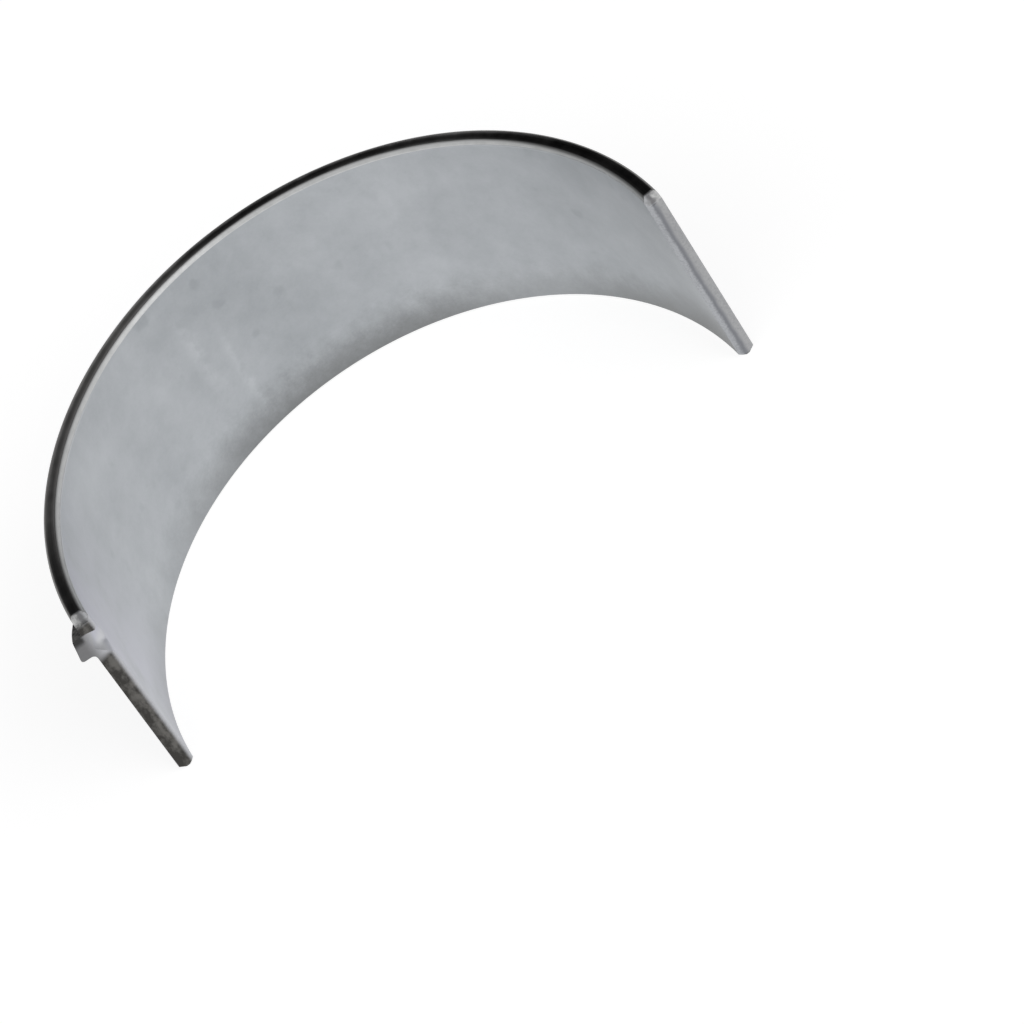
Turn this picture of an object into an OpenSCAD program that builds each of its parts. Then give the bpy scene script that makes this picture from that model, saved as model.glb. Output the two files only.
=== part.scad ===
// Half shell of a plain engine bearing, with one locating tang.
// The shell lies free, sprung open a little wider than the housing that it is pressed into.
// Z is the bore axis, the crown is towards +Y and the tang stands at the -X end.

/* [Shell] */
// Diameter of the housing that the back seats in
housing_d = 62; // [45:0.5:100]
// Wall thickness, back and lining together
wall = 1.55; // [1.2:0.05:3]
// Width of the shell along the bore axis
width = 22.6; // [14:0.1:40]
// Angle that the free shell spans, where the seated one spans a half circle
free_angle = 176; // [172:0.5:180]

/* [Edge breaks] */
// Chamfer on the bore edge of both end faces
bore_chamfer = 0.4; // [0.1:0.05:0.6]
// Chamfer on the back edge of both end faces
back_chamfer = 0.25; // [0.05:0.05:0.5]
// Chamfer on the bore edge of both parting faces
joint_chamfer = 0.3; // [0.1:0.05:0.6]
// Bevel across the upper corner of each parting face
upper_bevel = 0.8; // [0.2:0.1:2]
// Bevel across the lower corner of each parting face
lower_bevel = 0.4; // [0.2:0.1:2]

/* [Locating tang] */
// Rise of the crest above the back at the parting face, midway along the crest
tang_rise = 1.2; // [0.6:0.1:1.4]
// Length from the parting face to the line where the wall bends outwards
tang_length = 2.4; // [2:0.1:6]
// Radius that the back of the tang is bent to
tang_radius = 6; // [4.5:0.5:20]
// Width of the crest along the bore axis
tang_width = 2.75; // [1.5:0.05:6]
// Distance from the upper end face to the sheared side
tang_inset = 1.95; // [0.8:0.05:6]
// Angle that the crest leans outwards, from its sheared end to its drawn end
tang_lean = 8; // [0:1:12]
// Width of the recess floor behind the tang, from the sheared side
recess_width = 2.3; // [1:0.1:5.5]
// Angle between the drawn flank of the recess and a radius of the shell
flank_angle = 50; // [20:1:60]

/* [Hidden] */
$fn = 180;

// Radii of the free shell: the back keeps the length of half the housing's bore
back_r = housing_d / 2 * 180 / free_angle;
bore_r = back_r - wall;
top = width / 2;

// Angle by which each parting face falls short of the half circle
short_angle = (180 - free_angle) / 2;

// The tang is the wall itself, bent outwards. Its two faces are round a common axis, placed so that
// the back passes through the bend line and through the middle of the crest.
// These places are given with the tang's parting face turned onto Y = 0.
bend_line = [-sqrt(pow(back_r, 2) - pow(tang_length, 2)), tang_length];
crest = [-back_r - tang_rise, 0];
chord = crest - bend_line;
chord_normal = [-chord[1], chord[0]] / norm(chord);
tang_centre = (bend_line + crest) / 2
    + chord_normal * sqrt(pow(tang_radius, 2) - pow(norm(chord) / 2, 2));

// Heights of the sheared side and of the middle of the crest
shear_z = top - tang_inset;
crest_z = shear_z - tang_width / 2;

// Reach of the cutting and bounding prisms past what they shape
margin = wall + tang_rise;

// Section of the wall, in radius and height
module wall_section() {
    polygon([
        [bore_r + bore_chamfer, -top],
        [back_r - back_chamfer, -top],
        [back_r, -top + back_chamfer],
        [back_r, top - back_chamfer],
        [back_r - back_chamfer, top],
        [bore_r + bore_chamfer, top],
        [bore_r, top - bore_chamfer],
        [bore_r, -top + bore_chamfer],
    ]);
}

// Outline of the tang, in distance from the bore axis and height: square at both sides
module tang_outline() {
    translate([back_r - wall / 2, shear_z - tang_width])
        square([wall / 2 + tang_rise + margin, tang_width]);
}

// Height of the drawn flank of the recess at a distance r from the bore axis
function flank_z(r) = shear_z - recess_width - (bore_r + tang_rise - r) * tan(flank_angle);

// Outline of the recess behind the tang: sheared square above, drawn to a sloping flank below
module recess_outline() {
    root_r = bore_r - margin;
    outer_r = bore_r + tang_rise + recess_width / 4;
    polygon([
        [root_r, shear_z],
        [root_r, flank_z(root_r)],
        [outer_r, flank_z(outer_r)],
        [outer_r, shear_z],
    ]);
}

// Extrudes an outline along the shell at the tang's end, from start past the bend line
module along_tang(start) {
    translate([0, start, 0])
        rotate([90, 0, 180])
            linear_extrude(height = tang_length + margin - start)
                children();
}

// Round bar on the axis that the tang's faces turn about, leaning with the crest
module tang_bar(r) {
    translate([crest[0], 0, crest_z])
        rotate([0, tang_lean, 0])
            translate([tang_centre[0] - crest[0], tang_centre[1], 0])
                cylinder(r = r, h = 2 * width, center = true);
}

// Metal of the tang that stands proud of the back
module tang_metal() {
    intersection() {
        tang_bar(tang_radius);
        along_tang(0) tang_outline();
    }
}

// Hollow that the punch leaves in the bore behind the tang
module tang_recess() {
    intersection() {
        tang_bar(tang_radius - wall);
        along_tang(-margin) recess_outline();
    }
}

// Cutter for the chamfer on the bore edge of the parting face at the +X end, on Y = 0
module joint_chamfer_cutter() {
    linear_extrude(height = width + 2 * margin, center = true)
        polygon([
            [bore_r + 2 * joint_chamfer, -joint_chamfer],
            [bore_r - joint_chamfer, 2 * joint_chamfer],
            [bore_r - joint_chamfer, -joint_chamfer],
        ]);
}

// Cutter for a bevel across the upper corner of the parting face at the +X end, on Y = 0
module corner_cutter(bevel) {
    translate([bore_r - margin, 0, 0])
        rotate([90, 0, 90])
            linear_extrude(height = wall + 2 * margin)
                polygon([
                    [-bevel, top - 2 * bevel],
                    [2 * bevel, top + bevel],
                    [-bevel, top + bevel],
                ]);
}

// Puts what is made at the +X end, with the parting face on Y = 0, at both ends of the free shell
module at_both_ends() {
    for (side = [0, 1])
        mirror([side, 0, 0])
            rotate([0, 0, short_angle])
                children();
}

// Puts what is made at the -X end, with the parting face on Y = 0, at that end of the free shell
module at_tang_end() {
    rotate([0, 0, -short_angle])
        children();
}

module bearing_shell() {
    color("silver")
        difference() {
            union() {
                rotate([0, 0, short_angle])
                    rotate_extrude(angle = free_angle)
                        wall_section();
                at_tang_end() tang_metal();
            }
            at_tang_end() tang_recess();
            at_both_ends() {
                joint_chamfer_cutter();
                corner_cutter(upper_bevel);
                mirror([0, 0, 1]) corner_cutter(lower_bevel);
            }
        }
}

bearing_shell();
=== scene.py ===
"""Looks of a half shell of a plain engine bearing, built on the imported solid."""

import logging
import math
from dataclasses import dataclass
from enum import IntEnum
from typing import Any

import bmesh
import bpy
from bmesh.types import BMEdge, BMesh, BMFace, BMVert
from bpy.types import Light, Material, Node, NodeSocket, NodeTree, Object
from mathutils import Euler, Matrix, Vector


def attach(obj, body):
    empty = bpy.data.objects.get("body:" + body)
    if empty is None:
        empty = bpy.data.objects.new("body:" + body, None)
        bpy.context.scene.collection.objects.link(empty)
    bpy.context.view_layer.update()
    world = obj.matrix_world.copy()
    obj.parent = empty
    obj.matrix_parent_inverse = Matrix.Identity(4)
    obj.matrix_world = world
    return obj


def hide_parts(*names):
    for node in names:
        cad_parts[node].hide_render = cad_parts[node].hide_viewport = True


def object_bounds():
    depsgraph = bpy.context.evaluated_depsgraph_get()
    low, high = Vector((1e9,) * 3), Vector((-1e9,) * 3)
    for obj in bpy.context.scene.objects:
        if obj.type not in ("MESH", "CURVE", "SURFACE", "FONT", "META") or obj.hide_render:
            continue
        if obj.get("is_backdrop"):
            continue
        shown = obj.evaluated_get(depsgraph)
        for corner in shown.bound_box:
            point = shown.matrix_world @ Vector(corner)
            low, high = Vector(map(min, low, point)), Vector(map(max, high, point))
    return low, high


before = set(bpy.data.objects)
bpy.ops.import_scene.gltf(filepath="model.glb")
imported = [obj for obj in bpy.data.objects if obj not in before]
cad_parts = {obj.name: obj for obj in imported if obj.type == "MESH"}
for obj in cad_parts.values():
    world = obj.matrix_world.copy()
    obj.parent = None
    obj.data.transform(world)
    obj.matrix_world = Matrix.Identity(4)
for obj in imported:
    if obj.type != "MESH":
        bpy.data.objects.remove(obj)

MM = 0.001

# Value that a noise swings about
NOISE_MEAN = 0.5

# Numbers of the Mix node's sockets for colours
MIX_SHARE, MIX_FIRST, MIX_SECOND, MIX_RESULT = 0, 6, 7, 2

# Distances within which points are one and lie on a plane, in millimetres
MERGE_DISTANCE = 1e-4
PLANE_DISTANCE = 1e-5

# Parts of a face's normal from which the face leans a way, tilts, mostly faces it and is square to it
LEANING, TILTED, FACING, SQUARE = 0.3, 0.35, 0.6, 0.8

# Rounds in which the edge of the recess's floor is found
FLOOR_ROUNDS = 12

log = logging.getLogger("bearing_shell")

Colour = tuple[float, float, float]
Point = tuple[float, float]
Triple = tuple[float, float, float]


class Surface(IntEnum):
    """Kinds of surface on the shell, in the order of their material slots."""

    LINING = 0
    BACK = 1
    END_FACE = 2
    PARTING_FACE = 3
    BROKEN_EDGE = 4
    SHEARED = 5
    CORNER = 6


class Value:
    """A socket that carries one number; arithmetic on it adds Math nodes."""

    def __init__(self, graph: "Graph", socket: NodeSocket) -> None:
        """Keeps the graph and the socket."""
        self.graph = graph
        self.socket = socket

    def __add__(self, other: "Number") -> "Value":
        """Adds."""
        return self.graph.math("ADD", self, other)

    def __radd__(self, other: float) -> "Value":
        """Adds to a number on the left."""
        return self.graph.math("ADD", other, self)

    def __sub__(self, other: "Number") -> "Value":
        """Subtracts."""
        return self.graph.math("SUBTRACT", self, other)

    def __rsub__(self, other: float) -> "Value":
        """Subtracts from a number on the left."""
        return self.graph.math("SUBTRACT", other, self)

    def __mul__(self, other: "Number") -> "Value":
        """Multiplies."""
        return self.graph.math("MULTIPLY", self, other)

    def __rmul__(self, other: float) -> "Value":
        """Multiplies a number on the left."""
        return self.graph.math("MULTIPLY", other, self)

    def __truediv__(self, other: "Number") -> "Value":
        """Divides."""
        return self.graph.math("DIVIDE", self, other)

    def __rtruediv__(self, other: float) -> "Value":
        """Divides a number on the left."""
        return self.graph.math("DIVIDE", other, self)

    def __abs__(self) -> "Value":
        """Drops the sign."""
        return self.graph.math("ABSOLUTE", self)

    def step(self, low: float, high: float) -> "Value":
        """Rises smoothly from 0 at low to 1 at high.

        Args:
            low: Value at which the result is 0; it may be above high.
            high: Value at which the result is 1.

        Returns:
            The eased value, kept within 0 and 1.
        """
        if low > high:
            return 1 - self.step(high, low)
        node = self.graph.node(
            "ShaderNodeMapRange",
            {"interpolation_type": "SMOOTHSTEP"},
            {"Value": self, "From Min": low, "From Max": high},
        )
        return Value(self.graph, node.outputs["Result"])

    def bell(self, centre: float, half_width: float) -> "Value":
        """Is 1 at the centre and falls smoothly to 0 a half width away from it."""
        return abs(self - centre).step(half_width, 0.0)

    def swing(self, weight: float) -> "Value":
        """Turns a noise into one that swings about 0 with a given weight."""
        return (self - NOISE_MEAN) * weight

    def at_most(self, limit: "Number") -> "Value":
        """Keeps the smaller of two values."""
        return self.graph.math("MINIMUM", self, limit)

    def at_least(self, limit: "Number") -> "Value":
        """Keeps the larger of two values."""
        return self.graph.math("MAXIMUM", self, limit)

    def clamped(self) -> "Value":
        """Keeps the value within 0 and 1."""
        return self.at_most(1.0).at_least(0.0)


Number = Value | float


@dataclass(frozen=True)
class Pattern:
    """A noise on the wall laid flat.

    Attributes:
        scale: Blotches in a millimetre.
        detail: Number of finer layers.
        roughness: Weight of the finer layers.
        across: Factor on lengths round the wall.
        up: Factor on heights.
        through: Factor on distances from the bore axis.
        shift: Moves the pattern to another place.
    """

    scale: float = 1.0
    detail: float = 2.0
    roughness: float = 0.5
    across: float = 1.0
    up: float = 1.0
    through: float = 1.0
    shift: float = 0.0


class Graph:
    """Adds nodes to one node tree."""

    def __init__(self, tree: NodeTree) -> None:
        """Empties the tree and keeps it."""
        self.tree = tree
        tree.nodes.clear()

    def node(self, kind: str, settings: dict[str, Any], inputs: dict[str | int, Any]) -> Node:
        """Adds a node.

        Args:
            kind: Blender's name of the node's type.
            settings: Properties of the node, which are set first.
            inputs: Values, links or constants by the name or number of the socket.

        Returns:
            The new node.
        """
        node = self.tree.nodes.new(kind)
        for name, setting in settings.items():
            setattr(node, name, setting)
        for key, value in inputs.items():
            socket = node.inputs[key]
            source = value.socket if isinstance(value, Value) else value
            if isinstance(source, NodeSocket):
                self.tree.links.new(source, socket)
            elif isinstance(source, tuple) and socket.type == "RGBA":
                socket.default_value = (*source, 1.0)
            else:
                socket.default_value = source
        return node

    def math(self, operation: str, *operands: Number) -> Value:
        """Adds a Math node and gives its result."""
        node = self.node("ShaderNodeMath", {"operation": operation}, dict(enumerate(operands)))
        return Value(self, node.outputs[0])

    def mix(self, share: Number, first: Colour | NodeSocket, second: Colour | NodeSocket) -> NodeSocket:
        """Mixes two colours, by the share of the second one."""
        inputs = {MIX_SHARE: share, MIX_FIRST: first, MIX_SECOND: second}
        return self.node("ShaderNodeMix", {"data_type": "RGBA"}, inputs).outputs[MIX_RESULT]

    def vector(self, x: Number, y: Number, z: Number) -> NodeSocket:
        """Joins three values to a vector."""
        return self.node("ShaderNodeCombineXYZ", {}, {0: x, 1: y, 2: z}).outputs[0]

    def axes(self, vector: NodeSocket) -> list[Value]:
        """Splits a vector into its three values."""
        node = self.node("ShaderNodeSeparateXYZ", {}, {0: vector})
        return [Value(self, axis) for axis in node.outputs]

    def noise(self, where: NodeSocket, pattern: Pattern) -> Value:
        """Adds a noise.

        Args:
            where: Place on the stretched pattern, in millimetres.
            pattern: Scale, detail and roughness of the noise.

        Returns:
            A value about 0.5.
        """
        layers = {"Detail": pattern.detail, "Roughness": pattern.roughness}
        node = self.node("ShaderNodeTexNoise", {}, {"Vector": where, "Scale": pattern.scale, **layers})
        return Value(self, node.outputs[0])

    def bump(self, height: Value, depth: float) -> NodeSocket:
        """Turns a height into a normal, with the depth in millimetres that a height of 1 stands for."""
        inputs = {"Strength": 1.0, "Distance": depth * MM, "Height": height}
        return self.node("ShaderNodeBump", {}, inputs).outputs["Normal"]


@dataclass
class Strip:
    """Places on the shell as if its wall were laid flat, in millimetres.

    Attributes:
        graph: Graph that the values belong to.
        along: Share of the way round, 0 at the plain end and 1 at the tang's end.
        arc: Length round the wall.
        inside: Length round the wall from the tang's parting face.
        height: Height along the bore axis, 0 midway.
        radius: Distance from the bore axis.
        depth: Distance from the lining's surface.
        proud: Distance outside the back's surface.
        below: Distance below the tang's sheared side.
    """

    graph: Graph
    along: Value
    arc: Value
    inside: Value
    height: Value
    radius: Value
    depth: Value
    proud: Value
    below: Value

    @classmethod
    def of(cls, graph: Graph, shell: "BearingShell", mean_radius: float) -> "Strip":
        """Reads the object's own coordinates.

        Args:
            graph: Graph to add to.
            shell: Shell that the wall is part of.
            mean_radius: Radius that lengths round the wall are measured on.

        Returns:
            The place on the strip.
        """
        place = graph.node("ShaderNodeTexCoord", {}, {}).outputs["Object"]
        x, y, z = (axis * (1 / MM) for axis in graph.axes(place))
        angle = graph.math("ARCTAN2", y, x)
        radius = graph.math("SQRT", x * x + y * y)
        return cls(
            graph=graph,
            along=angle / math.pi,
            arc=angle * mean_radius,
            inside=(shell.end_angle - angle) * mean_radius,
            height=z,
            radius=radius,
            depth=radius - shell.bore_radius,
            proud=radius - shell.back_radius,
            below=shell.shear_height - z,
        )

    def noise(self, pattern: Pattern) -> Value:
        """Lays a noise on the wall.

        Args:
            pattern: The noise and its stretch.

        Returns:
            A value about 0.5.
        """
        across = self.arc * pattern.across + pattern.shift
        place = self.graph.vector(across, self.height * pattern.up, self.radius * pattern.through)
        return self.graph.noise(place, pattern)

    def tang_half(self) -> Value:
        """Is 1 on the tang's half of the shell and 0 on the plain half."""
        return self.along.step(0.45, 0.55)


# Colour, roughness and normal of a place
Look = tuple[NodeSocket, Value, NodeSocket]


@dataclass(frozen=True)
class Finish:
    """A finish of bare metal.

    Attributes:
        name: Name of the material.
        shell: Shell whose sizes the finish goes by.
        mean_radius: Radius that lengths round the wall are measured on, in millimetres.
    """

    name: str
    shell: "BearingShell"
    mean_radius: float

    def material(self) -> Material:
        """Makes the material.

        Returns:
            The material, with its nodes.
        """
        made = bpy.data.materials.new(self.name)
        made.use_nodes = True
        graph = Graph(made.node_tree)
        colour, roughness, normal = self.dress(Strip.of(graph, self.shell, self.mean_radius))
        shader = graph.node(
            "ShaderNodeBsdfPrincipled",
            {},
            {"Base Color": colour, "Metallic": 1.0, "Roughness": roughness, "Normal": normal},
        )
        graph.node("ShaderNodeOutputMaterial", {}, {"Surface": shader.outputs[0]})
        return made

    def dress(self, strip: Strip) -> Look:
        """Works out the colour, roughness and normal of each place on the wall."""
        raise NotImplementedError


@dataclass(frozen=True)
class Scuff:
    """A faint light streak that runs up the lining.

    Attributes:
        along: Place of the streak, as a share of the way round.
        half_width: Half its width, as a share of the way round.
        middle: Height of its middle, in millimetres.
        half_length: Half its length, in millimetres.
        waver: How far it strays, as a share of the way round.
    """

    along: float
    half_width: float
    middle: float
    half_length: float = 8.0
    waver: float = 0.02

    def strength(self, strip: Strip, patches: Value) -> Value:
        """Gives the strength, from 0 to 1, with a noise that bends the streak and breaks it up."""
        line = (strip.along + patches.swing(self.waver)).bell(self.along, self.half_width)
        return line * strip.height.bell(self.middle, self.half_length) * patches.step(0.3, 0.6)


@dataclass(frozen=True)
class LiningFinish(Finish):
    """Matt grey bearing metal: soft clouds, faint axial scuffs and painted shade along the lower edge.

    It has painted highlights at the recess's flank and along the upper edge, painted light towards the
    tang's end and painted shade at the plain end, and it darkens into the tang.
    """

    pale: Colour = (0.505, 0.524, 0.546)
    deep: Colour = (0.34, 0.358, 0.376)
    violet: Colour = (0.5, 0.505, 0.56)
    # Colour of the painted shade along the lower edge
    painted_lower_shade: Colour = (0.19, 0.195, 0.196)
    # Colour of the painted highlights on the recess's flank and along the upper edge
    drawn: Colour = (0.66, 0.665, 0.68)
    mouth: Colour = (0.19, 0.19, 0.195)
    shade: Colour = (0.1, 0.102, 0.104)
    clouds: Pattern = Pattern(0.11, 4.0, 0.6)
    patches: Pattern = Pattern(0.5, 4.0, 0.65, up=0.75, shift=40.0)
    grain: Pattern = Pattern(4.0, 2.0, 0.6)
    spots: Pattern = Pattern(0.42, 1.0, up=0.8, shift=70.0)
    high_scuff: Scuff = Scuff(0.592, 0.012, 2.0)
    low_scuff: Scuff = Scuff(0.563, 0.008, -3.0)
    flank_below: float = 2.9
    flank_reach: float = 1.4
    lip_start: float = 0.65
    lip_full: float = 0.45
    relief: float = 0.006

    def dress(self, strip: Strip) -> Look:
        """Works out the look of each place of the lining.

        Args:
            strip: Place on the wall.

        Returns:
            Colour, roughness and normal.
        """
        graph, along, top = strip.graph, strip.along, self.shell.top
        clouds = strip.noise(self.clouds)
        patches = strip.noise(self.patches)
        grain = strip.noise(self.grain)

        # Tone of the bare metal, with painted light towards the tang's end and painted shade at the plain
        # end
        spots = strip.noise(self.spots).step(0.66, 0.78)
        scuffs = self.high_scuff.strength(strip, patches) + self.low_scuff.strength(strip, patches)
        crown = along.bell(0.52, 0.14)
        # Painted light towards the tang's end and painted shade at the plain end
        painted_tang_light = along.step(0.6, 0.8) * (0.1 + strip.height.step(2.0, 9.0) * 0.14)
        painted_plain_shade = along.step(0.26, 0.02)
        tone = 0.52 + clouds.swing(1.1) + patches.swing(0.8) + grain.swing(0.3)
        tone = tone + scuffs * 0.24 - spots * 0.22 - crown * 0.18 + painted_tang_light - painted_plain_shade * 0.48
        colour = graph.mix(tone.clamped(), self.deep, self.pale)
        tinted = along.step(0.78, 0.98) * clouds.step(0.25, 0.55)
        colour = graph.mix(tinted, colour, self.violet)

        # Painted shade along the lower edge, weaker at the tang and between crown and plain end, and more
        # painted shade in the plain end's lower corner
        low = (strip.height + patches.swing(3.0) + grain.swing(1.2)) / top
        share = 0.2 + along.step(0.8, 0.52) * 0.8 + along.step(0.75, 0.95) * 0.15
        share = share - along.bell(0.26, 0.14) * 0.5
        colour = graph.mix(low.step(-0.46, -1.05) * share * 0.9, colour, self.painted_lower_shade)
        corner = along.step(0.13, 0.04) * low.step(-0.25, -0.75)
        colour = graph.mix(corner * 0.5, colour, self.shade)

        # Painted highlights on the recess's flank and along the upper edge, and the darker mouth of the
        # recess
        flank = along.step(0.95, 0.98) * strip.below.bell(self.flank_below, self.flank_reach)
        lip_highlight = along.step(0.35, 0.2) * 0.3 + along.step(0.65, 0.8) * 0.7
        lip_highlight = lip_highlight * strip.height.step(top - self.lip_start, top - self.lip_full)
        colour = graph.mix(flank.at_least(lip_highlight), colour, self.drawn)
        mouth = strip.inside.step(1.1, 0.5) * strip.depth.step(0.3, 2.0)
        colour = graph.mix(mouth, colour, self.mouth)

        roughness = 0.44 + patches.swing(0.16) + grain.swing(0.08) - scuffs * 0.05 + flank * 0.2
        return colour, roughness, graph.bump(grain * 0.6 + patches * 0.4, self.relief)


@dataclass(frozen=True)
class BackFinish(Finish):
    """Drawn steel: soft axial streaks, dark smears, smudges along the lower edge and a rubbed tang."""

    pale: Colour = (0.315, 0.312, 0.338)
    deep: Colour = (0.15, 0.148, 0.16)
    violet: Colour = (0.15, 0.145, 0.195)
    soot: Colour = (0.045, 0.045, 0.048)
    # Colour of the rubbed crest of the tang and of the painted highlight along the upper edge
    rubbed: Colour = (0.46, 0.46, 0.47)
    broad: Pattern = Pattern(1.0, 3.0, 0.6, across=0.22, up=0.05)
    lines: Pattern = Pattern(1.0, 4.0, 0.6, across=0.75, up=0.12, shift=30.0)
    hair: Pattern = Pattern(1.0, 2.0, 0.6, across=6.0, up=0.3, shift=60.0)
    clouds: Pattern = Pattern(0.35, 4.0, 0.6, up=0.7, shift=80.0)
    tint: Pattern = Pattern(0.3, 1.0, across=0.8, up=0.3, shift=120.0)
    relief: float = 0.008

    def dress(self, strip: Strip) -> Look:
        """Works out the look of each place of the back.

        Args:
            strip: Place on the wall.

        Returns:
            Colour, roughness and normal.
        """
        graph, top = strip.graph, self.shell.top
        broad = strip.noise(self.broad)
        lines = strip.noise(self.lines)
        hair = strip.noise(self.hair)
        clouds = strip.noise(self.clouds)

        # Tone of the streaked steel
        ends = strip.along.step(0.22, 0.04).at_least(strip.along.step(0.78, 0.96))
        tone = 0.56 + broad.swing(1.6) + lines.swing(0.9) + clouds.swing(0.7) + hair.swing(0.22)
        colour = graph.mix((tone - ends * 0.3).clamped(), self.deep, self.pale)
        tint = strip.noise(self.tint).step(0.5, 0.72)
        colour = graph.mix((tint * 0.3 + ends * 0.3).at_most(0.6), colour, self.violet)

        # Dirt of the face and of its lower edge
        smears = lines.step(0.4, 0.26) * clouds.step(0.48, 0.66)
        low = (strip.height + clouds.swing(5.0) + lines.swing(3.0)) / top
        dirt = smears * 0.55 + low.step(-0.84, -1.06) * 0.6
        colour = graph.mix(dirt.at_most(0.8), colour, self.soot)

        # Rubbed crest of the tang, a painted highlight along the upper edge, and the dark line at the
        # tang's foot
        crest = (strip.proud + lines.swing(0.4)).step(0.5, 1.2)
        # Painted highlight along the upper edge
        high = (strip.height + clouds.swing(0.8)).step(top - 0.7, top - 0.2)
        colour = graph.mix((crest * 0.6).at_least(high * 0.5), colour, self.rubbed)
        foot = strip.proud.bell(0.2, 0.2) * clouds.step(0.25, 0.7)
        colour = graph.mix(foot * 0.5, colour, self.soot)

        roughness = 0.38 + lines.swing(0.2) + smears * 0.15 + clouds.swing(0.12)
        return colour, roughness, graph.bump(hair * 0.5 + lines * 0.5, self.relief)


@dataclass(frozen=True)
class EndFaceFinish(Finish):
    """Faced edge of the wall, near black partly in its own colour and partly as a painted dark reflection,
    with fine lines round it, a painted sheen on the tang's half and a rubbed outer edge.
    """

    pale: Colour = (0.3, 0.295, 0.29)
    # Near-black colour, partly the face's own and partly a painted dark reflection
    deep: Colour = (0.035, 0.034, 0.033)
    rubbed: Colour = (0.5, 0.495, 0.49)
    clouds: Pattern = Pattern(0.5, 3.0, 0.6)
    line_stretch: float = 0.12
    line_count: float = 7.0
    middle_depth: float = 0.85
    relief: float = 0.006

    def dress(self, strip: Strip) -> Look:
        """Works out the look of each place of an end face.

        Args:
            strip: Place on the wall.

        Returns:
            Colour, roughness and normal.
        """
        graph, along = strip.graph, strip.along
        rings = graph.vector(strip.arc * self.line_stretch, strip.radius * self.line_count, strip.height)
        lines = graph.noise(rings, Pattern())
        clouds = strip.noise(self.clouds)

        # Painted sheen, paler and rougher, most of it on the tang's half
        rim_sheen = along.step(0.48, 0.63) * along.step(1.0, 0.8) * 0.8 + along.step(0.14, 0.26) * 0.2
        rim_sheen = rim_sheen + along.bell(0.3, 0.12) * 0.2 + along.bell(0.64, 0.12) * 0.15
        sides = abs(strip.depth - self.middle_depth).step(0.1, 0.55)
        tone = 0.08 + rim_sheen * 0.55 + sides * (0.2 + rim_sheen * 0.5) + lines.swing(0.3) + clouds.swing(0.5)
        colour = graph.mix(tone.clamped(), self.deep, self.pale)

        # Rubbed outer edge, away from both ends
        edge = (strip.proud + clouds.swing(0.25)).step(-0.7, -0.25)
        edge = edge * along.step(0.08, 0.25) * along.step(0.9, 0.72)
        colour = graph.mix(edge * 0.85, colour, self.rubbed)

        roughness = 0.36 + rim_sheen * 0.24 + clouds.swing(0.16) + edge * 0.2
        return colour, roughness, graph.bump(lines, self.relief)


@dataclass(frozen=True)
class PartingFinish(Finish):
    """Cut end of the wall.

    At the plain end, lining, bond and steel show as bands. At the other end the face is dark, partly with
    stain and partly with painted shade, and the end of the tang shades from the lining's grey to a dark
    crest.
    """

    lining: Colour = (0.425, 0.437, 0.457)
    bond: Colour = (0.212, 0.218, 0.236)
    steel: Colour = (0.385, 0.388, 0.394)
    # Dark colours of the tang's end face, partly stain and partly painted shade
    soot: Colour = (0.05, 0.048, 0.045)
    stain_and_shade: Colour = (0.14, 0.135, 0.127)
    rolled: Colour = (0.5, 0.505, 0.528)
    drawn: Colour = (0.19, 0.19, 0.194)
    crest: Colour = (0.045, 0.045, 0.045)
    grain: Pattern = Pattern(4.5, 3.0, 0.65)
    patches: Pattern = Pattern(1.1, 3.0, 0.6, up=0.7, through=1.4)
    broad: Pattern = Pattern(1.0, 2.0, up=0.25)
    drawn_reach: float = 3.3
    drawn_slope: float = 0.31
    relief: float = 0.02

    def dress(self, strip: Strip) -> Look:
        """Works out the look of each place of a parting face.

        Args:
            strip: Place on the wall.

        Returns:
            Colour, roughness and normal.
        """
        graph, depth, below = strip.graph, strip.depth, strip.below
        grain = strip.noise(self.grain)
        patches = strip.noise(self.patches)
        broad = strip.noise(self.broad)

        # Bands of the plain end
        wavy = depth + patches.swing(0.25) + grain.swing(0.2) + broad.swing(0.35)
        bands = graph.mix(wavy.step(0.2, 0.58), self.lining, self.bond)
        bands = graph.mix(wavy.step(0.6, 1.0), bands, self.steel)
        specks = (grain - 0.4) * 1.3 + broad.swing(0.5)
        bands = graph.mix(specks.at_least(0.0), bands, self.bond)

        # Dark face of the tang's end, partly stain and partly painted shade, with a pale edge at the lining
        shade = patches.step(0.32, 0.7) - depth.step(0.6, 1.5) * 0.35
        stained_and_shaded = graph.mix(shade.at_least(0.0), self.soot, self.stain_and_shade)
        stained_and_shaded = graph.mix(below.step(-0.7, -1.25) * 0.3, stained_and_shaded, self.rolled)
        stained_and_shaded = graph.mix((depth + grain.swing(0.12)).step(0.48, 0.0), stained_and_shaded, self.rolled)

        # End of the tang
        lanced = graph.mix((depth + patches.swing(0.3)).step(0.3, 2.0), self.rolled, self.drawn)
        sooty = (below + patches.swing(0.5)).step(1.2, 0.4) * (depth + grain.swing(0.3)).step(1.4, 1.85)
        lanced = graph.mix(sooty, lanced, self.crest)
        edge = below - depth * self.drawn_slope + patches.swing(0.5)
        under = below + (depth * 0.2 - 0.33).at_most(0.0)
        in_tang = under.step(-0.1, 0.15) * edge.step(self.drawn_reach + 0.45, self.drawn_reach - 0.55)

        colour = graph.mix(in_tang, stained_and_shaded, lanced)
        colour = graph.mix(strip.tang_half(), bands, colour)
        return colour, 0.45 + grain.swing(0.2), graph.bump(grain * 0.7 + patches * 0.3, self.relief)


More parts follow.
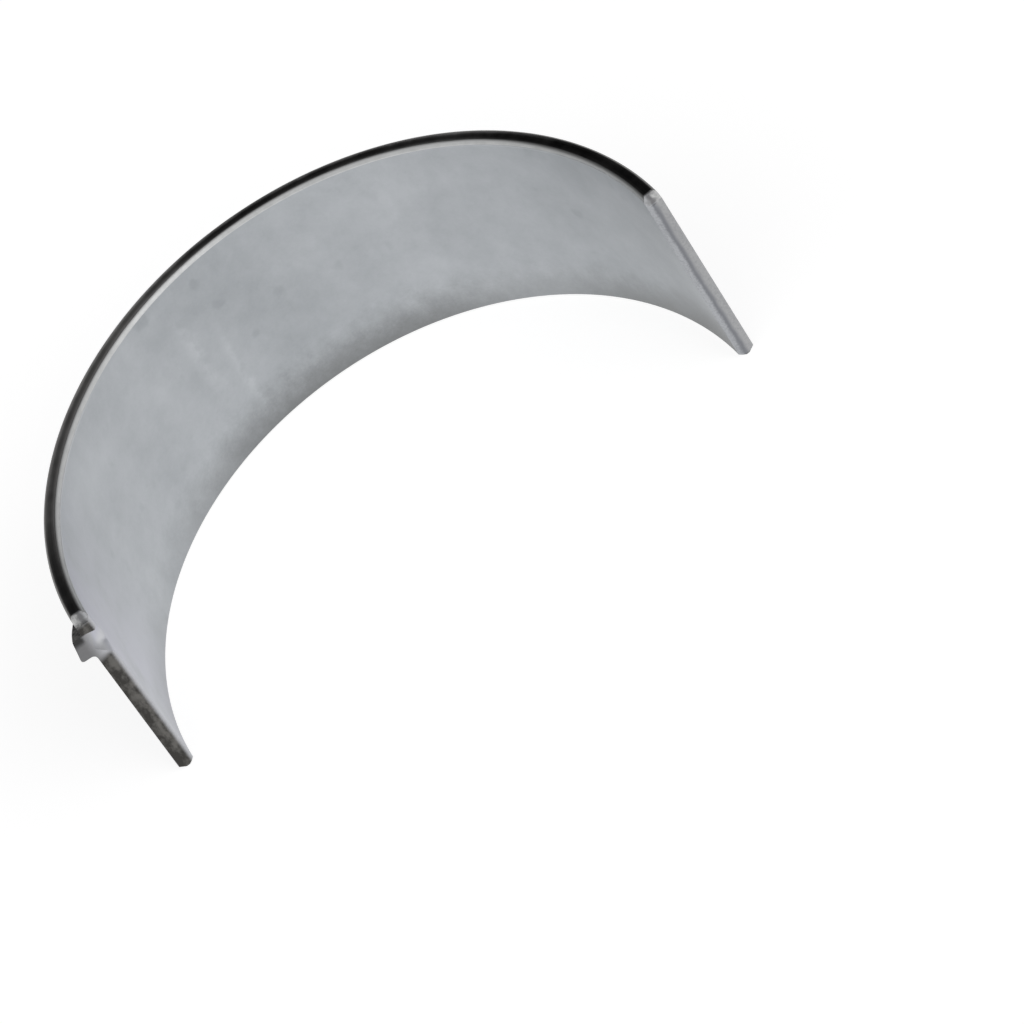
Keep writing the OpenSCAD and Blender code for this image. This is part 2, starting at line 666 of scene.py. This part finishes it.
@dataclass(frozen=True)
class BrokenEdgeFinish(Finish):
    """Bright broken edge: the chamfers of the bore, darker at both ends and towards the end face."""

    pale: Colour = (0.57, 0.575, 0.575)
    deep: Colour = (0.38, 0.385, 0.385)
    dark: Colour = (0.09, 0.09, 0.09)
    patches: Pattern = Pattern(0.9, 3.0, 0.6)
    grain: Pattern = Pattern(7.0, 2.0)
    relief: float = 0.008

    def dress(self, strip: Strip) -> Look:
        """Works out the look of each place of a broken edge.

        Args:
            strip: Place on the wall.

        Returns:
            Colour, roughness and normal.
        """
        graph = strip.graph
        patches = strip.noise(self.patches)
        grain = strip.noise(self.grain)
        ends = strip.along.step(0.25, 0.12) + strip.along.step(0.84, 0.95) * 0.7
        inner = strip.depth.step(0.1, 0.02)
        crown = strip.along.bell(0.56, 0.22)
        tone = 0.5 + patches.swing(1.2) + grain.swing(0.4) - ends * 0.5 + inner * 0.5 - crown * 0.25
        colour = graph.mix(tone.clamped(), self.deep, self.pale)
        outer = (strip.depth + ends * 0.1 + patches.swing(0.1)).step(0.2, 0.42)
        colour = graph.mix(outer * 0.85, colour, self.dark)
        return colour, 0.4 + grain.swing(0.15), graph.bump(grain, self.relief)


@dataclass(frozen=True)
class CornerFinish(Finish):
    """Struck corner of a parting face: pale at the lining and at the back, with a darker bond between."""

    lining: Colour = (0.38, 0.385, 0.395)
    bond: Colour = (0.17, 0.17, 0.175)
    steel: Colour = (0.5, 0.502, 0.498)
    soot: Colour = (0.045, 0.044, 0.042)
    patches: Pattern = Pattern(1.8, 3.0, 0.6)
    grain: Pattern = Pattern(7.0, 2.0)
    relief: float = 0.03

    def dress(self, strip: Strip) -> Look:
        """Works out the look of each place of a struck corner.

        Args:
            strip: Place on the wall.

        Returns:
            Colour, roughness and normal.
        """
        graph = strip.graph
        patches = strip.noise(self.patches)
        grain = strip.noise(self.grain)
        depth = strip.depth + patches.swing(0.5)
        colour = graph.mix(depth.step(0.3, 0.6), self.lining, self.bond)
        colour = graph.mix(depth.step(0.75, 1.15), colour, self.steel)
        dirt = (patches.step(0.62, 0.36) + grain.swing(0.4)).at_least(0.0)
        colour = graph.mix(dirt * 0.5, colour, self.bond)
        above_foot = strip.height - (self.shell.top - self.shell.upper_bevel) + patches.swing(0.6)
        foot = above_foot.step(0.3, -0.2) * depth.step(0.15, 0.5)
        colour = graph.mix(foot * strip.tang_half(), colour, self.soot)
        return colour, 0.5 + grain.swing(0.2), graph.bump(grain * 0.5 + patches * 0.5, self.relief)


@dataclass(frozen=True)
class ShearedFinish(Finish):
    """Dark torn metal at the sheared side of the tang."""

    pale: Colour = (0.36, 0.355, 0.345)
    deep: Colour = (0.1, 0.1, 0.1)
    tears: Pattern = Pattern(1.4, 4.0, 0.65, across=2.0, through=0.8)
    relief: float = 0.05

    def dress(self, strip: Strip) -> Look:
        """Works out the look of each place of a sheared side.

        Args:
            strip: Place on the wall.

        Returns:
            Colour, roughness and normal.
        """
        tears = strip.noise(self.tears)
        colour = strip.graph.mix(tears.step(0.3, 0.7), self.deep, self.pale)
        return colour, 0.65 + tears.swing(0.2), strip.graph.bump(tears, self.relief)


@dataclass
class BearingShell:
    """The half shell, one piece of lined steel with a tang lanced at one end.

    Sizes are in millimetres and degrees. The bore axis is Z, the crown is towards +Y and the tang stands
    at the -X end. Places near the tang use the angle phi, measured from its parting face.
    """

    # Wall of the free shell, which is wider than the housing it is pressed into
    housing_diameter: float = 62.0
    wall: float = 1.55
    width: float = 22.6
    free_angle: float = 176.0
    # Edges of the wall; the nose is the lower one
    bore_chamfer: float = 0.4
    back_chamfer: float = 0.25
    nose_chamfer: float = 0.4
    edge_round: float = 0.1
    nose_round: float = 0.35
    # Parting faces: edges, corners, and facets that reach through the wall, round it and up
    joint_chamfer: float = 0.3
    upper_bevel: float = 0.8
    lower_bevel: float = 0.2
    corner_trim: float = 0.038803
    nose_inset: float = 0.25
    nose_cut: Triple = (0.32, 0.5, 0.24)
    end_round: float = 0.08
    # Tang, bent about a leaning axis, with its sheared side inset from the upper end face
    tang_rise: float = 1.2
    tang_length: float = 2.4
    tang_radius: float = 6.0
    tang_width: float = 2.75
    tang_inset: float = 1.95
    tang_lean: float = 8.0
    bend_softness: float = 0.25
    crest_round: float = 0.45
    foot_round: float = 0.6
    small_round: float = 0.12
    # Recess behind the tang, with a drawn flank, a sheared wall that sags and a rolled mouth
    recess_width: float = 2.3
    flank_angle: float = 50.0
    flank_round: float = 0.8
    least_flank: float = 0.35
    shear_round: float = 0.2
    shear_drop: float = 0.4
    shear_reach: float = 0.13
    roll_depth: float = 0.45
    roll_length: float = 0.9
    # Columns of faces, narrow ones in the tang's zone, and the angle of an edge shaded as sharp
    tang_zone: float = 7.0
    zone_steps: int = 42
    plain_steps: int = 169
    sharp_angle: float = 35.0

    def __post_init__(self) -> None:
        """Works out the sizes that follow from the others."""
        self.back_radius = self.housing_diameter / 2 * 180 / self.free_angle
        self.bore_radius = self.back_radius - self.wall
        self.top = self.width / 2
        self.short_angle = (180 - self.free_angle) / 2
        self.end_angle = math.pi - math.radians(self.short_angle)
        self.shear_height = self.top - self.tang_inset
        self.crest_height = self.shear_height - self.tang_width / 2
        self.crest_x = -self.back_radius - self.tang_rise
        bend = Vector((-math.sqrt(self.back_radius**2 - self.tang_length**2), self.tang_length))
        chord = Vector((self.crest_x, 0.0)) - bend
        normal = Vector((-chord.y, chord.x)).normalized()
        drop = math.sqrt(self.tang_radius**2 - (chord.length / 2) ** 2)
        self.tang_centre = bend + chord / 2 + normal * drop

    def finishes(self) -> dict[Surface, Finish]:
        """Chooses the finishes.

        Returns:
            The finish of each kind of surface.
        """
        middle = self.back_radius - self.wall / 2
        return {
            Surface.LINING: LiningFinish("lining", self, self.bore_radius),
            Surface.BACK: BackFinish("steel_back", self, self.back_radius),
            Surface.END_FACE: EndFaceFinish("end_face", self, middle),
            Surface.PARTING_FACE: PartingFinish("parting_face", self, middle),
            Surface.BROKEN_EDGE: BrokenEdgeFinish("broken_edge", self, middle),
            Surface.SHEARED: ShearedFinish("sheared_side", self, middle),
            Surface.CORNER: CornerFinish("struck_corner", self, middle),
        }

    def bent_radius(self, phi: float, height: float, bar_radius: float) -> float:
        """Finds where a radius of the shell meets a face of the bent tang.

        Args:
            phi: Angle from the tang's parting face, in radians.
            height: Height along the bore axis.
            bar_radius: Radius of that face of the tang.

        Returns:
            Distance from the bore axis, or 0 where the face doesn't reach.
        """
        lean = math.radians(self.tang_lean)
        shift = -math.cos(lean) * self.crest_x - math.sin(lean) * (height - self.crest_height)
        shift -= self.tang_centre.x - self.crest_x
        cos_phi = math.cos(lean) * math.cos(phi)
        sin_phi = math.sin(phi)
        a = cos_phi**2 + sin_phi**2
        b = -2 * (cos_phi * shift + self.tang_centre.y * sin_phi)
        c = shift**2 + self.tang_centre.y**2 - bar_radius**2
        root = b * b - 4 * a * c
        return (-b + math.sqrt(root)) / (2 * a) if root > 0 else 0.0

    def rise(self, phi: float, height: float) -> float:
        """Gives the tang's rise above the back, eased into the back at the bend."""
        return self.eased(self.bent_radius(phi, height, self.tang_radius) - self.back_radius)

    def sink(self, phi: float, height: float) -> float:
        """Gives the depth of the recess below the bore, eased at the bend and rolled over at its open end.

        Args:
            phi: Angle from the tang's parting face, in radians.
            height: Height along the bore axis.

        Returns:
            The depth.
        """
        inner = self.bent_radius(phi, height, self.tang_radius - self.wall) - self.bore_radius
        short = min(1.0, max(0.0, 1.0 - phi * self.bore_radius / self.roll_length))
        return self.eased(inner) + self.roll_depth * (1.0 - math.sqrt(1.0 - short**2))

    def eased(self, step: float) -> float:
        """Rounds the start of a step over the bend's softness.

        Args:
            step: Height of the step, or below 0 where there is none.

        Returns:
            The eased height, 0 or more.
        """
        soft = self.bend_softness
        if abs(step) >= soft:
            return max(step, 0.0)
        return (step + soft) ** 2 / (4 * soft)

    def flank_height(self, radius: float) -> float:
        """Follows the recess's sloping flank.

        Args:
            radius: Distance from the bore axis.

        Returns:
            Height of the flank there.
        """
        slope = math.tan(math.radians(self.flank_angle))
        reach = self.bore_radius + self.tang_rise - radius
        return self.shear_height - self.recess_width - reach * slope

    def floor_edge(self, phi: float) -> Point:
        """Finds where the recess's floor meets its flank.

        Args:
            phi: Angle from the tang's parting face, in radians.

        Returns:
            Radius and height of the meeting point.
        """
        lowest = self.flank_height(self.bore_radius)
        height = lowest
        for _ in range(FLOOR_ROUNDS):
            floor = self.bore_radius + self.sink(phi, height)
            height = 0.5 * (height + self.flank_height(floor))
        return floor, max(height, lowest + self.least_flank)

    def section(self, phi: float) -> list[Point]:
        """Gives the section of the wall at an angle from the tang's parting face.

        Args:
            phi: Angle from the tang's parting face, in radians.

        Returns:
            Points of radius and height round the section, always as many.
        """
        bore, back, top = self.bore_radius, self.back_radius, self.top
        shear, low = self.shear_height, self.shear_height - self.tang_width
        edge, soft, nose = self.edge_round, self.flank_round, self.nose_round
        root = self.sink(phi, shear)
        drop = self.shear_drop * min(1.0, root / self.wall)
        corners = [
            (bore, self.bore_chamfer - top, edge, 3),
            (bore, self.flank_height(bore), soft, 7),
            (*self.floor_edge(phi), soft, 7),
            (bore + root, shear, self.small_round, 4),
            (bore, shear - drop, self.shear_round, 4),
            (bore, top - self.bore_chamfer, edge, 3),
            (bore + self.bore_chamfer, top, edge, 3),
            (back - self.back_chamfer, top, edge, 3),
            (back, top - self.back_chamfer, edge, 3),
            (back, shear, edge, 3),
            (back + self.rise(phi, shear), shear, self.small_round, 4),
            (back + self.rise(phi, low), low, self.crest_round, 5),
            (back, low, self.foot_round, 6),
            (back, self.nose_chamfer - top, nose, 5),
            (back - self.nose_chamfer, -top, nose, 5),
            (bore + self.bore_chamfer, -top, nose, 5),
        ]
        return self.rounded(corners)

    @staticmethod
    def rounded(corners: list[tuple[float, float, float, int]]) -> list[Point]:
        """Rounds the corners of a closed outline.

        Args:
            corners: Place, length cut off each side and number of points of each corner.

        Returns:
            Points of the rounded outline.
        """
        just_under_half = 0.49
        points: list[Point] = []
        places = [Vector(corner[:2]) for corner in corners]
        for index, (_, _, cut, count) in enumerate(corners):
            place = places[index]
            ahead = places[(index + 1) % len(places)] - place
            behind = places[index - 1] - place
            reach = min(cut, ahead.length * just_under_half, behind.length * just_under_half)
            start = place + behind.normalized() * reach
            end = place + ahead.normalized() * reach
            for step in range(count):
                t = step / (count - 1)
                curve = start * (1 - t) ** 2 + place * (2 * t * (1 - t)) + end * t**2
                points.append((curve.x, curve.y))
        return points

    def place(self, phi: float, radius: float, height: float) -> Vector:
        """Gives the place at an angle from the tang's parting face."""
        angle = self.end_angle - phi
        return Vector((radius * math.cos(angle), radius * math.sin(angle), height))

    def sweep(self) -> BMesh:
        """Spins the section round the bore axis and draws the tang in to its bend.

        Returns:
            The closed wall, with square parting faces, in millimetres.
        """
        bm = bmesh.new()
        row = bm.verts.layers.int.new("row")
        ring: list[BMVert] = []
        for index, (radius, height) in enumerate(self.section(0.0)):
            ring.append(bm.verts.new(self.place(0.0, radius, height)))
            ring[-1][row] = index
        wire = [bm.edges.new(pair) for pair in zip(ring, ring[1:] + ring[:1])]
        zone = math.radians(self.tang_zone)
        rest = math.radians(self.free_angle) - zone
        last: list[Any] = [*ring, *wire]
        for angle, steps in ((zone, self.zone_steps), (rest, self.plain_steps)):
            spun = bmesh.ops.spin(
                bm, geom=last, cent=(0, 0, 0), axis=(0, 0, -1), angle=angle, steps=steps, use_merge=False
            )
            last = spun["geom_last"]
        sections: dict[int, list[Point]] = {}
        for vert in bm.verts:
            phi = self.end_angle - math.atan2(vert.co.y, vert.co.x)
            column = round(phi * 1e6)
            if column not in sections:
                sections[column] = self.section(phi)
            vert.co = self.place(phi, *sections[column][vert[row]])
        for end in (wire, [item for item in last if isinstance(item, BMEdge)]):
            bmesh.ops.contextual_create(bm, geom=end)
        bmesh.ops.remove_doubles(bm, verts=bm.verts, dist=MERGE_DISTANCE)
        bmesh.ops.dissolve_degenerate(bm, edges=bm.edges, dist=PLANE_DISTANCE)
        bmesh.ops.recalc_face_normals(bm, faces=bm.faces)
        return bm

    def cut_off(self, bm: BMesh, side: int, point: Vector, normal: Vector) -> None:
        """Cuts a flat facet at one end of the shell.

        Args:
            bm: Mesh to cut.
            side: 1 for the +X end and -1 for the -X end.
            point: Place on the facet, with the end's parting face turned onto Y = 0 at +X.
            normal: Direction of the metal that goes, turned alike.
        """
        turn = Matrix.Rotation(math.radians(self.short_angle), 3, "Z")
        mirror = Matrix.Diagonal((side, 1.0, 1.0))
        reach = 3.0 * self.wall
        verts = {v for v in bm.verts if v.co.x * side > 0 and v.co.y < reach}
        edges = [e for e in bm.edges if all(v in verts for v in e.verts)]
        faces = [f for f in bm.faces if all(v in verts for v in f.verts)]
        bmesh.ops.bisect_plane(
            bm,
            geom=[*verts, *edges, *faces],
            dist=PLANE_DISTANCE,
            plane_co=mirror @ turn @ point,
            plane_no=mirror @ turn @ normal,
            clear_outer=True,
        )
        bmesh.ops.holes_fill(bm, edges=[e for e in bm.edges if e.is_boundary], sides=0)

    def bevel_corners(self, bm: BMesh, side: int) -> None:
        """Bevels the upper and lower corner of a parting face and trims the bevels' edges.

        Args:
            bm: Mesh to cut.
            side: 1 for the +X end and -1 for the -X end.
        """
        for up, bevel in ((1, self.upper_bevel), (-1, self.lower_bevel)):
            foot = Vector((0, 0, up * (self.top - bevel)))
            crown = Vector((0, bevel, up * self.top))
            for edge, tilt, trim in (
                (foot, 22.5, self.corner_trim),
                (crown, 45.0, 0.0),
                (crown, 67.5, self.corner_trim),
            ):
                slope = math.radians(tilt)
                outward = Vector((0, -math.cos(slope), up * math.sin(slope)))
                self.cut_off(bm, side, edge - outward * trim, outward)

    def cut_noses(self, bm: BMesh, side: int) -> None:
        """Cuts the two small facets at the lower corner of a parting face.

        Args:
            bm: Mesh to cut.
            side: 1 for the +X end and -1 for the -X end.
        """
        through, around, up = self.nose_cut
        for outwards, radius in ((-1, self.bore_radius), (1, self.back_radius)):
            start = radius - outwards * (self.nose_inset + through)
            facet = Vector((outwards / through, -1 / around, -1 / up)).normalized()
            self.cut_off(bm, side, Vector((start, 0, self.lower_bevel - self.top)), facet)

    def break_ends(self, bm: BMesh) -> None:
        """Breaks the corners and edges of both parting faces.

        Args:
            bm: Mesh to cut.
        """
        for side in (1, -1):
            self.bevel_corners(bm, side)
            chamfered = Vector((self.bore_radius + self.joint_chamfer, 0, 0))
            self.cut_off(bm, side, chamfered, Vector((-1, -1, 0)).normalized())
            self.cut_noses(bm, side)
        bmesh.ops.recalc_face_normals(bm, faces=bm.faces)
        bm.normal_update()
        flat = math.cos(math.radians(self.short_angle + 1.0))
        low = {face for face in bm.faces if face.calc_center_median().y < self.wall}
        ends = {face for face in low if face.normal.y < -flat and face.calc_area() > self.wall}
        outline = [e for e in bm.edges if len(ends.intersection(e.link_faces)) == 1 and not self.by_tang(e)]
        bmesh.ops.bevel(
            bm,
            geom=outline,
            offset=self.end_round,
            offset_type="OFFSET",
            segments=3,
            profile=0.5,
            affect="EDGES",
            clamp_overlap=False,
            material=-1,
        )

    def by_tang(self, edge: BMEdge) -> bool:
        """Tells whether an edge lies at the tang, its recess or the strip above them."""
        middle = (edge.verts[0].co + edge.verts[1].co) / 2
        return middle.x < 0 and middle.z > self.flank_height(self.bore_radius) - self.flank_round

    def surface(self, face: BMFace) -> Surface:
        """Tells which kind of surface a face is part of.

        Args:
            face: Face of the finished wall, in millimetres.

        Returns:
            The kind of surface.
        """
        centre = face.calc_center_median()
        outward = Vector((centre.x, centre.y, 0)).normalized()
        radial = face.normal.dot(outward)
        along = abs(face.normal.dot(Vector((-outward.y, outward.x, 0))))
        upright = abs(face.normal.z)
        near_end = centre.y < 2 * self.wall
        on_tang = centre.x < 0 and Vector((centre.x, centre.y)).length > self.back_radius - 0.3
        from_shear = abs(centre.z - self.shear_height)
        if near_end and on_tang and from_shear < self.shear_reach and upright > LEANING:
            return Surface.SHEARED
        if centre.y < 1.5 * self.wall and along > FACING and upright < TILTED:
            return Surface.PARTING_FACE
        if near_end and along > LEANING and upright > LEANING and abs(centre.z) > self.shear_height:
            return Surface.CORNER
        if abs(centre.z) > self.top - self.bore_chamfer and upright > LEANING:
            return Surface.BROKEN_EDGE if radial < -LEANING else Surface.END_FACE
        if upright > SQUARE and from_shear < self.shear_drop + 0.1:
            return Surface.SHEARED
        return Surface.LINING if radial < 0 else Surface.BACK

    def build(self) -> Object:
        """Builds and dresses the shell.

        Returns:
            The finished piece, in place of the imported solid.
        """
        bm = self.sweep()
        self.break_ends(bm)
        bm.normal_update()
        for face in bm.faces:
            face.material_index = self.surface(face)
            face.smooth = True
        bmesh.ops.scale(bm, vec=(MM, MM, MM), verts=bm.verts)
        mesh = bpy.data.meshes.new("bearing_shell_wall")
        bm.to_mesh(mesh)
        bm.free()
        mesh.set_sharp_from_angle(angle=math.radians(self.sharp_angle))
        finishes = self.finishes()
        for surface in Surface:
            mesh.materials.append(finishes[surface].material())
        piece = bpy.data.objects.new("bearing_shell_wall", mesh)
        bpy.context.scene.collection.objects.link(piece)
        weighted = piece.modifiers.new("even_shading", "WEIGHTED_NORMAL")
        weighted.keep_sharp = True
        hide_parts("bearing_shell")
        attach(piece, "root")
        return piece


@dataclass
class Studio:
    """Pale floor, soft light and the camera.

    Sizes are in metres and degrees, and those of the lens and sensor in millimetres.
    """

    # Floor: paint lights the shell, and veil and glow are what is seen
    floor_height: float
    floor_size: float = 8.0
    floor_paint: Colour = (0.8, 0.8, 0.8)
    floor_veil: Colour = (0.32, 0.32, 0.32)
    floor_glow: Colour = (0.83, 0.83, 0.83)
    # Dome, and its dim part in a direction given as shares backwards and up
    dome: Colour = (1.0, 1.0, 1.0)
    dome_dim: Colour = (0.03, 0.03, 0.032)
    dim_way: Point = (0.6, 0.8)
    dim_start: float = 0.4
    dim_full: float = 0.85
    # Lamp, with the brightness of its face, where 1 is white
    lamp_place: Triple = (0.35, -0.55, 0.60)
    lamp_side: float = 0.5
    lamp_brightness: float = 1.2
    # Camera
    lens: float = 296.532
    sensor: float = 36.0
    camera_place: Triple = (-0.0275653, -0.5301769, 0.5168990)
    camera_turn: Triple = (40.02031, 23.32567, -28.80691)

    def lay_floor(self) -> Object:
        """Lays a pale floor that keeps a light shadow.

        Returns:
            The floor.
        """
        bm = bmesh.new()
        bmesh.ops.create_grid(bm, x_segments=2, y_segments=2, size=self.floor_size / 2)
        bmesh.ops.translate(bm, vec=(0, 0, self.floor_height), verts=bm.verts)
        mesh = bpy.data.meshes.new("floor")
        bm.to_mesh(mesh)
        bm.free()
        mesh.materials.append(self.floor_material())
        floor = bpy.data.objects.new("floor", mesh)
        bpy.context.scene.collection.objects.link(floor)
        floor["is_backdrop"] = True
        return floor

    def floor_material(self) -> Material:
        """Makes the floor's material, which is nearly white where it is seen.

        Returns:
            The material.
        """
        made = bpy.data.materials.new("pale_floor")
        made.use_nodes = True
        graph = Graph(made.node_tree)
        path = graph.node("ShaderNodeLightPath", {}, {}).outputs
        seen = Value(graph, path["Is Camera Ray"]).at_least(Value(graph, path["Is Glossy Ray"]))
        seen = seen.at_least(Value(graph, path["Is Transmission Ray"]))
        paint = graph.node("ShaderNodeBsdfDiffuse", {}, {"Color": self.floor_paint})
        veil = graph.node("ShaderNodeBsdfDiffuse", {}, {"Color": self.floor_veil})
        glow = graph.node("ShaderNodeEmission", {}, {"Color": self.floor_glow, "Strength": 1.0})
        lit = graph.node("ShaderNodeAddShader", {}, {0: veil.outputs[0], 1: glow.outputs[0]})
        mixed = graph.node("ShaderNodeMixShader", {}, {0: seen, 1: paint.outputs[0], 2: lit.outputs[0]})
        graph.node("ShaderNodeOutputMaterial", {}, {"Surface": mixed.outputs[0]})
        return made

    def wrap_world(self) -> None:
        """Wraps the scene in a pale dome that is dim high up at the back."""
        world = bpy.data.worlds.new("studio")
        world.use_nodes = True
        graph = Graph(world.node_tree)
        direction = graph.node("ShaderNodeTexCoord", {}, {}).outputs["Generated"]
        _, backwards, up = graph.axes(direction)
        dim = (backwards * self.dim_way[0] + up * self.dim_way[1]).step(self.dim_start, self.dim_full)
        colour = graph.mix(dim, self.dome, self.dome_dim)
        sky = graph.node("ShaderNodeBackground", {}, {"Color": colour, "Strength": 1.0})
        graph.node("ShaderNodeOutputWorld", {}, {"Surface": sky.outputs[0]})
        bpy.context.scene.world = world

    def hang_lamp(self) -> Object:
        """Hangs a square soft lamp that faces the shell.

        Returns:
            The lamp.
        """
        data: Light = bpy.data.lights.new("front_lamp", "AREA")
        data.shape = "SQUARE"
        data.size = self.lamp_side
        data.energy = self.lamp_brightness * math.pi * self.lamp_side**2
        lamp = bpy.data.objects.new("front_lamp", data)
        lamp.location = Vector(self.lamp_place)
        lamp.rotation_euler = Vector(self.lamp_place).to_track_quat("Z", "Y").to_euler()
        bpy.context.scene.collection.objects.link(lamp)
        return lamp

    def set_camera(self) -> Object:
        """Sets a long lens above the open side of the shell, turned about its own axis.

        Returns:
            The camera.
        """
        data = bpy.data.cameras.new("camera")
        data.sensor_width = self.sensor
        data.lens = self.lens
        camera = bpy.data.objects.new("camera", data)
        camera.location = Vector(self.camera_place)
        camera.rotation_euler = Euler([math.radians(turn) for turn in self.camera_turn])
        bpy.context.scene.collection.objects.link(camera)
        bpy.context.scene.camera = camera
        return camera


def main() -> None:
    """Builds the shell and the studio."""
    logging.basicConfig(level=logging.INFO, format="%(message)s")
    solid_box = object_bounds()
    piece = BearingShell().build()
    log.info("piece %s: %d faces", piece.name, len(piece.data.polygons))
    studio = Studio(floor_height=solid_box[0][2])
    for item in (studio.lay_floor(), studio.hang_lamp(), studio.set_camera()):
        log.info("stage %s", item.name)
    studio.wrap_world()
    bpy.context.scene.view_settings.view_transform = "Standard"


if __name__ == "__main__":
    main()
